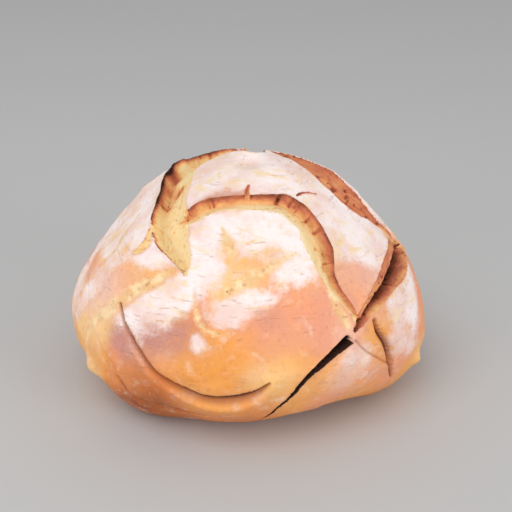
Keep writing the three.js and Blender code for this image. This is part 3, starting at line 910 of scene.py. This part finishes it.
print(f"{len(DABS_OF_TINT)} dabs, and the mean tint is", tint.mean(axis=0).round(3))

# %% [markdown]
# ## How the crumb has baked, and its painted shade
#
# Crumb is brown where it tore open early, and near a lip that faces the oven's heat. The walls' own notes
# tell most of it. Dabs add what is uneven: darker places, some of them painted shadow in the pocket under the
# west tear's lifted left lip, and places that were spared. The bowls of burst bubbles are painted a little
# darker too, as shade in them.

# %% Darker and spared crumb, with painted shade
# rows at azimuth -66 to -92, elevation 55 to 63: painted shadow in the pocket under the west tear's left lip
DARKER_CRUMB = [  # azimuth, elevation, spread in degrees, strength
    (-78, 59.5, 4, 0.5), (-92, 62.5, 3.5, 0.7), (-66, 55, 3, 0.45), (-66, 62.5, 2.5, 0.6),
    (-90, 80, 5, 0.4), (30, 62, 5, 0.12), (-112, 73.5, 5, 0.45),
]
SPARED = [(-130, 64, 14, 0.2), (-100, 76, 7, 0.08), (-50, 84, 6, 0.1), (46, 16, 4, 0.2), (86, 28, 5, 0.4)]
# the middle of a pit is painted darker, as shade in its bowl
PIT_SHADE = 0.3  # how much darker the middle of a pit is
# darker dabs less the spared ones, plus painted shade in the pits
crumb_darkening = (dabs(DARKER_CRUMB) - dabs(SPARED) + PIT_SHADE * pit_mask) * (inside > 0)
note("crumb_darkening", "FLOAT", crumb_darkening)
for n, name in enumerate(WALL_NOTES):
    note(name, "FLOAT", wall_notes[:, n])
print(f"scorching goes from {crumb_darkening.min():.2f} to {crumb_darkening.max():.2f}")

# %% [markdown]
# Strands run along each tear, so their pattern is laid out by how far along and across the tear a corner is.
# Where a face has corners of two owners, that pattern would be smeared. The corners of such faces are noted
# as a seam, and the material goes over to a plain pattern there.

# %% Grain and seams
note("grain", "FLOAT_VECTOR", grain)
mixed = faces[owner[faces].max(axis=1) > owner[faces].min(axis=1)]
seam = np.zeros(count)
seam[mixed.ravel()] = 1
note("seam", "FLOAT", seam)
mixed_in_crumb = (inside[mixed] > 0).any(axis=1).sum()
print(f"{len(mixed)} faces have corners of two owners, and {mixed_in_crumb} of them are torn")

# %% [markdown]
# ## The material
#
# One material holds every state of the crust, because they run into each other without an edge. Attributes
# say what lies where, and noise in object coordinates adds what is too fine for the mesh. Those are in
# metres, so a scale of 100 gives swells a centimetre wide. First come small helpers, so that each step is
# one line.

# %% Links and attributes
crust = bpy.data.materials.new("baked_crust")
crust.use_nodes = True
tree = crust.node_tree
shader = tree.nodes["Principled BSDF"]


def feed(socket, value):
    """Link a socket to an output, or set its value."""
    if isinstance(value, bpy.types.NodeSocket):
        tree.links.new(value, socket)
    else:
        socket.default_value = value


def attribute(name, output="Fac"):
    """What was noted on the mesh."""
    node = tree.nodes.new("ShaderNodeAttribute")
    node.attribute_name = name
    return node.outputs[output]


print("the material is", crust.name)


# %% Sums and fades
def compute(operation, first, second=0.0, third=0.0):
    """One sum on numbers, such as ADD or MULTIPLY."""
    node = tree.nodes.new("ShaderNodeMath")
    node.operation = operation
    for socket, value in zip(node.inputs, (first, second, third)):
        feed(socket, value)
    return node.outputs[0]


def plus(first, second):
    """The sum of two numbers."""
    return compute("ADD", first, second)


def times(first, second):
    """The product of two numbers, or where two masks overlap."""
    return compute("MULTIPLY", first, second)


def swing(pattern, height):
    """A pattern around 0.5 turned into height * (pattern - 0.5), which is as often plus as minus."""
    return compute("MULTIPLY_ADD", pattern, height, -height / 2)


def fade(value, start, end, low=0.0, high=1.0):
    """Goes smoothly from low to high while value goes from start to end, as t * t * (3 - 2 t) for the
    share t of the way."""
    node = tree.nodes.new("ShaderNodeMapRange")
    node.interpolation_type = "SMOOTHSTEP"
    for name, number in (("Value", value), ("From Min", start), ("From Max", end),
                         ("To Min", low), ("To Max", high)):
        feed(node.inputs[name], number)
    return node.outputs[0]


print("at each quarter of its way a fade is at", [t * t * (3 - 2 * t) for t in (0, 0.25, 0.5, 0.75, 1)])


# %% Patterns
HOLE_CORE = 0.4  # within this share of its size a hole is fully dark


def noise(where, scale, detail=4.0, rough=0.6, twist=0.0):
    """Wandering numbers around 0.5, with `scale` swells per unit. `detail` is how many times finer swells
    are laid over them, `rough` is how strong those are, and `twist` bends the pattern."""
    node = tree.nodes.new("ShaderNodeTexNoise")
    for name, number in (("Vector", where), ("Scale", scale), ("Detail", detail),
                         ("Roughness", rough), ("Distortion", twist)):
        feed(node.inputs[name], number)
    return node.outputs[0]


def holes(where, scale, size):
    """1 in small round holes scattered at `scale` per unit, 0 between them."""
    node = tree.nodes.new("ShaderNodeTexVoronoi")
    feed(node.inputs["Vector"], where)
    feed(node.inputs["Scale"], scale)
    return fade(node.outputs["Distance"], size, size * HOLE_CORE)


def stretched(where, x, y, z):
    """Coordinates scaled along each axis, to draw a pattern out."""
    node = tree.nodes.new("ShaderNodeMapping")
    feed(node.inputs["Vector"], where)
    node.inputs["Scale"].default_value = (x, y, z)
    return node.outputs[0]


body = tree.nodes.new("ShaderNodeTexCoord").outputs["Object"]
strand = attribute("grain", "Vector")
print("patterns run in", body.name, "coordinates, and along the strands")


# %% Colours
def mix(amount, first, second, how="MIX"):
    """Blend two colours. The node's inputs 6 and 7 and its output 2 are those for colours."""
    node = tree.nodes.new("ShaderNodeMix")
    node.data_type = "RGBA"
    node.blend_type = how
    feed(node.inputs[0], amount)
    feed(node.inputs[6], first)
    feed(node.inputs[7], second)
    return node.outputs[2]


def opaque(red, green, blue):
    """A screen colour as a node's colour value."""
    return (*from_screen(red, green, blue), 1)


COAT_ON_SCREEN = {
    "glaze": (250, 196, 140), "freckle": (206, 122, 78), "bloom": (250, 216, 190), "speck": (150, 84, 50),
    "white flour": (251, 239, 238), "pink flour": (243, 214, 206), "warm flour": (243, 205, 172),
    "gold streak": (248, 220, 168), "thin flour": (194, 134, 128), "scratch": (206, 150, 118),
    # pore, and pit below, are painted shade in small holes and bowls
    "pale gold": (250, 224, 176), "deep gold": (236, 190, 134), "pore": (176, 112, 66),
    # crease and deep crease below are painted shade in the creases
    "pit": (196, 116, 76), "rim": (222, 160, 130), "crease": (176, 100, 52), "deep crease": (84, 38, 18),
}
COAT = {name: opaque(*screen) for name, screen in COAT_ON_SCREEN.items()}
print(f"{len(COAT)} named colours besides the tints")

# %% [markdown]
# ### Bare crust
#
# Baked skin is mottled: blotches a finger wide, then freckles, then fine specks. One noise can't be both
# broad and crisp, so each size is a noise of its own, mixed over the tint that was dabbed on.

# %% Crust colour
blotches = noise(body, 60, detail=5, rough=0.6)
freckles = noise(body, 330, detail=4, rough=0.65)
specks = times(holes(body, 260, 0.2), fade(noise(body, 45, detail=2), 0.5, 0.62))
bloom = noise(body, 110, detail=7, rough=0.68, twist=0.4)
tint_here = attribute("tint", "Color")
bare = mix(fade(blotches, 0.36, 0.66, high=0.55), tint_here, COAT["glaze"], "SOFT_LIGHT")
bare = mix(fade(freckles, 0.5, 0.72, high=0.28), bare, COAT["freckle"])
bare = mix(fade(bloom, 0.52, 0.72, high=0.42), bare, COAT["bloom"])
bare = mix(times(specks, 0.3), bare, COAT["speck"])
print(f"the crust's tree has {len(tree.nodes)} nodes so far")

# %% [markdown]
# ### Flour
#
# Flour is nearly white with a breath of pink where the crust shows through. Its edge breaks into patches
# and grains, so noise is added to the flour's amount before a fade turns it into a mask. Fine wrinkles in the
# skin show as short dark scratches.

# %% Where flour shows
patchy = noise(body, 75, detail=7, rough=0.68)
grains = noise(body, 520, detail=5, rough=0.75)
amount = plus(attribute("flour"), swing(patchy, 1.5))
flour_mask = fade(plus(amount, swing(grains, 0.6)), 0.12, 0.78)
thin_field = plus(patchy, swing(grains, 0.8))
thin = times(attribute("thin_flour"), fade(thin_field, 0.28, 0.52, low=0.6))
scratch_field = noise(stretched(body, 110, 110, 800), 1.0, detail=3, rough=0.6, twist=0.6)
scratches = times(fade(scratch_field, 0.6, 0.68), fade(noise(body, 38, detail=2), 0.43, 0.56))
print(f"the crust's tree has {len(tree.nodes)} nodes so far")

# %% Flour colour
pinkness = fade(noise(body, 42, detail=5), 0.38, 0.64)
flour_colour = mix(pinkness, COAT["white flour"], COAT["pink flour"])
warmth = fade(noise(body, 150, detail=4), 0.56, 0.74, high=0.45)
flour_colour = mix(warmth, flour_colour, COAT["warm flour"])
streaks = noise(stretched(body, 34, 60, 150), 1.0, detail=6, rough=0.66, twist=0.8)
flour_colour = mix(fade(streaks, 0.52, 0.66, high=0.75), flour_colour, COAT["gold streak"])
dusted = mix(times(thin, 0.9), bare, COAT["thin flour"])
dusted = mix(times(flour_mask, 0.96), dusted, flour_colour)
dusted = mix(times(times(scratches, flour_mask), 0.45), dusted, COAT["scratch"])
print(f"the crust's tree has {len(tree.nodes)} nodes so far")

# %% [markdown]
# ### Stretched skin
#
# The stretched bands are golden, with pores where small bubbles came through the skin, painted dark as shade
# in them. Their mark is smooth, so noise breaks its edge up as it does the flour's.

# %% Stretch colour
pores = times(holes(stretched(body, 1.0, 1.0, 1.5), 300, 0.26), fade(noise(body, 120, detail=2), 0.42, 0.6))
band_mask = fade(plus(attribute("stretched"), swing(noise(body, 170, detail=6, rough=0.7), 1.9)), 0.2, 0.95)
gold = mix(fade(noise(body, 130, detail=4), 0.38, 0.62), COAT["pale gold"], COAT["deep gold"])
# pores and pits are painted darker: painted shade in them
gold = mix(times(pores, 0.65), gold, COAT["pore"])
gold = mix(times(attribute("pitted"), 0.7), gold, COAT["pit"])
skin_colour = mix(times(band_mask, 0.9), dusted, gold)
print(f"the crust's tree has {len(tree.nodes)} nodes so far")

# %% [markdown]
# ### Torn crumb
#
# Crumb that tore open early is baked brown, and crumb that opened last is still pale yellow. Strands run
# along the tear, with small holes between them that are painted dark, as shade in them. All of that is one
# number, how baked the crumb is, with painted shade added where grooves are deep and in holes and pits, and
# a ramp turns the number into its colour, so that every shade on it belongs to the same bread.

# %% Strands
PLAIN_SCALE = 300  # the pattern that takes over on a seam
strand_fine = noise(stretched(strand, 0.11, 0.75, 1.0), 1.0, detail=5, rough=0.65, twist=0.3)
strand_hole = holes(stretched(strand, 0.16, 0.5, 1.0), 1.0, 0.3)
strand_hole = times(strand_hole, fade(noise(body, 110, detail=2), 0.46, 0.6))
on_seam = attribute("seam")
plain_instead = compute("SUBTRACT", noise(body, PLAIN_SCALE), strand_fine)
strand_fine = plus(strand_fine, times(on_seam, plain_instead))
strand_hole = times(strand_hole, compute("SUBTRACT", 1.0, on_seam))
print(f"the crust's tree has {len(tree.nodes)} nodes so far")

# %% How baked the crumb is, with its painted shade
floor_bake_and_shade = attribute("floor_bake_and_shade")
crumb_bake_and_shade = plus(floor_bake_and_shade, attribute("crumb_darkening"))
for wall, way in (("left_bake_and_shade", 1.0), ("right_bake_and_shade", -1.0)):
    climbed = compute("MAXIMUM", times(attribute("climb"), way), 0.0)
    climbed = compute("POWER", climbed, attribute("turn"))
    crumb_bake_and_shade = compute("MULTIPLY_ADD", compute("SUBTRACT", attribute(wall), floor_bake_and_shade), climbed, crumb_bake_and_shade)
crumb_bake_and_shade = plus(crumb_bake_and_shade, swing(strand_fine, 0.55))
crumb_bake_and_shade = plus(crumb_bake_and_shade, swing(noise(body, 95, detail=4, rough=0.6), 0.4))
# small holes among the strands are painted darker: painted shade in them
crumb_bake_and_shade = plus(crumb_bake_and_shade, times(strand_hole, 0.22))
in_crumb = attribute("inside")
crumb_bake_and_shade = plus(crumb_bake_and_shade, fade(in_crumb, 0.9, 0.1, high=0.1))
print(f"the crust's tree has {len(tree.nodes)} nodes so far")

# %% Crumb colour
# the ramp's dark end serves both the most baked crumb and the painted shade deep in the slit and the gorge
BAKE_AND_SHADE_RAMP = [  # how baked, and its colour as screens write it
    (0.0, (252, 228, 176)), (0.2, (250, 212, 150)), (0.4, (234, 168, 108)), (0.6, (203, 117, 86)),
    (0.8, (146, 76, 46)), (1.0, (48, 20, 9)),
]
ramp = tree.nodes.new("ShaderNodeValToRGB")
feed(ramp.inputs[0], crumb_bake_and_shade)
while len(ramp.color_ramp.elements) < len(BAKE_AND_SHADE_RAMP):
    ramp.color_ramp.elements.new(0.5)
for stop, (position, colour) in zip(ramp.color_ramp.elements, BAKE_AND_SHADE_RAMP):
    stop.position = position
    stop.color = opaque(*colour)
print(f"the ramp has {len(ramp.color_ramp.elements)} stops")

# %% [markdown]
# The crumb then goes in under the skin. Bare patches follow the torn edges, where flour fell off as they
# curled, and creases get painted shade, brown and then dark towards their deepest line.

# %% Join skin and crumb
crumb_mask = fade(plus(in_crumb, swing(noise(body, 500), 0.5)), -0.2, 0.15)
rim = times(fade(in_crumb, -1.8, -0.2), fade(noise(body, 130, detail=3), 0.42, 0.6))
skin_colour = mix(times(rim, 0.5), skin_colour, COAT["rim"])
painted_crease_shade_here = attribute("painted_crease_shade")
# painted shade in the creases: brown, then near-black on the deepest line
skin_colour = mix(fade(painted_crease_shade_here, 0.1, 0.75, high=0.7), skin_colour, COAT["crease"])
skin_colour = mix(fade(painted_crease_shade_here, 0.72, 0.97, high=0.9), skin_colour, COAT["deep crease"])
final_colour = mix(crumb_mask, skin_colour, ramp.outputs[0])
feed(shader.inputs["Base Color"], final_colour)
print(f"the crust's tree has {len(tree.nodes)} nodes so far")

# %% [markdown]
# ### Feel
#
# Flour and crumb are dull, and bare crust has a faint sheen. Fine relief goes into a bump: the flour's
# thickness, the grain of the skin, the strands and the pores. As real shape it would need millions of faces.

# %% Roughness
SHEEN_ROUGH = 0.56  # bare crust
DULL_ROUGH = 0.9  # flour and crumb
SHINE = 0.3  # how strongly bread mirrors light, where 0.5 is plain plastic
dull = compute("MAXIMUM", flour_mask, crumb_mask)
feed(shader.inputs["Roughness"], fade(dull, 0.0, 1.0, low=SHEEN_ROUGH, high=DULL_ROUGH))
shader.inputs["Specular IOR Level"].default_value = SHINE
print(f"roughness runs from {SHEEN_ROUGH} to {DULL_ROUGH}")

# %% Fine relief
skin_relief = compute("MULTIPLY_ADD", flour_mask, 0.12, times(grains, 0.22))
skin_relief = plus(skin_relief, times(noise(body, 210, detail=5, rough=0.6), 0.5))
skin_relief = compute("SUBTRACT", skin_relief, times(scratches, 0.16))
skin_relief = compute("SUBTRACT", skin_relief, times(times(pores, band_mask), 0.4))
crumb_relief = compute("MULTIPLY_ADD", strand_fine, 0.9, times(strand_hole, -0.7))
deeper = compute("SUBTRACT", crumb_relief, skin_relief)
relief = compute("MULTIPLY_ADD", crumb_mask, deeper, skin_relief)
bump = tree.nodes.new("ShaderNodeBump")
bump.inputs["Strength"].default_value = 1.0
bump.inputs["Distance"].default_value = MM
feed(bump.inputs["Height"], relief)
feed(shader.inputs["Normal"], bump.outputs[0])
loaf_mesh.materials.append(crust)
print(f"the crust's tree has {len(tree.nodes)} nodes in all")

# %% [markdown]
# ## Floor
#
# The loaf rests on a plain pale surface, as wide as can be seen, so that nothing but bread draws the eye. It
# isn't part of the loaf.

# %% Floor
FLOOR_REACH = 20.0  # from the middle to each side, in metres
FLOOR_GREY = 0.56
FLOOR_ROUGH = 0.9
floor_mesh = bpy.data.meshes.new("floor")
floor_mesh.from_pydata(
    [(x * FLOOR_REACH, y * FLOOR_REACH, box_low[2]) for x, y in ((-1, -1), (1, -1), (1, 1), (-1, 1))],
    [], [(0, 1, 2, 3)],
)
floor = bpy.data.objects.new("floor", floor_mesh)
bpy.context.scene.collection.objects.link(floor)
paper = bpy.data.materials.new("pale_paper")
paper.use_nodes = True
paper_shader = paper.node_tree.nodes["Principled BSDF"]
paper_shader.inputs["Base Color"].default_value = (FLOOR_GREY, FLOOR_GREY, FLOOR_GREY, 1)
paper_shader.inputs["Roughness"].default_value = FLOOR_ROUGH
floor_mesh.materials.append(paper)
print(f"the floor is {2 * FLOOR_REACH:.0f} m wide")

# %% [markdown]
# ## Light
#
# Soft light from high on the left shows how far each plate is lifted. A bare room light alone would be flat,
# and hard lamps would draw black shadows, so three square lamps are added to an even white room: a key from
# above, a fill from the right and a low one from the left, which looks in under the roll.

# %% The room
ROOM_LIGHT = 0.6
world = bpy.data.worlds.new("soft_room")
world.use_nodes = True
background = world.node_tree.nodes["Background"]
background.inputs["Color"].default_value = (1, 1, 1, 1)
background.inputs["Strength"].default_value = ROOM_LIGHT
bpy.context.scene.world = world
bpy.context.scene.view_settings.view_transform = "Standard"
print(f"the room shines at {ROOM_LIGHT}")

# %% Lamps
LAMP_SPREAD = 120  # the fabric grid keeps each lamp's light within this angle, in degrees
LAMPS = [  # name, place, aim and side in metres, power in watts
    ("key_light", (-0.5, -0.8, 1.5), (0, 0, 0.08), 1.2, 3.9),
    ("fill_light", (1.25, -1.0, 0.4), (0, 0, 0.06), 0.8, 3.7),
    ("low_light", (-1.15, -1.1, 0.32), (0, 0, 0.05), 0.6, 2.5),
]


def softbox(name, place, aim, side, power):
    """A square lamp at a place, turned to its aim."""
    lamp = bpy.data.lights.new(name, "AREA")
    lamp.size = side
    lamp.energy = power
    lamp.spread = np.radians(LAMP_SPREAD)
    holder = bpy.data.objects.new(name, lamp)
    bpy.context.scene.collection.objects.link(holder)
    holder.location = place
    holder.rotation_mode = "QUATERNION"
    holder.rotation_quaternion = (Vector(aim) - Vector(place)).to_track_quat("-Z", "Y")


for lamp_values in LAMPS:
    softbox(*lamp_values)
print(f"{len(LAMPS)} lamps of {sum(values[-1] for values in LAMPS):.1f} W together")

# %% [markdown]
# ## Camera
#
# The loaf is looked down on a little from straight in front, as by someone standing at a table. The camera
# is placed by turning back from its aim, the middle of the loaf, so that the aim is never lost.

# %% Camera
FILM_WIDTH = 36  # in mm
FIELD = 30  # the angle that the film takes in, in degrees
LOOK_DOWN = 25  # how far above level the camera is, in degrees
DISTANCE = 0.621  # from the aim, in metres
AIM = (0.0047, 0, 0.0798)
camera_data = bpy.data.cameras.new("camera")
camera_data.sensor_width = FILM_WIDTH
camera_data.lens = FILM_WIDTH / 2 / np.tan(np.radians(FIELD / 2))
camera = bpy.data.objects.new("camera", camera_data)
bpy.context.scene.collection.objects.link(camera)
bpy.context.scene.camera = camera
away = Vector(toward(0, LOOK_DOWN))
camera.location = Vector(AIM) + away * DISTANCE
camera.rotation_mode = "QUATERNION"
camera.rotation_quaternion = away.to_track_quat("Z", "Y")
print(f"the camera's lens is {camera_data.lens:.1f} mm")
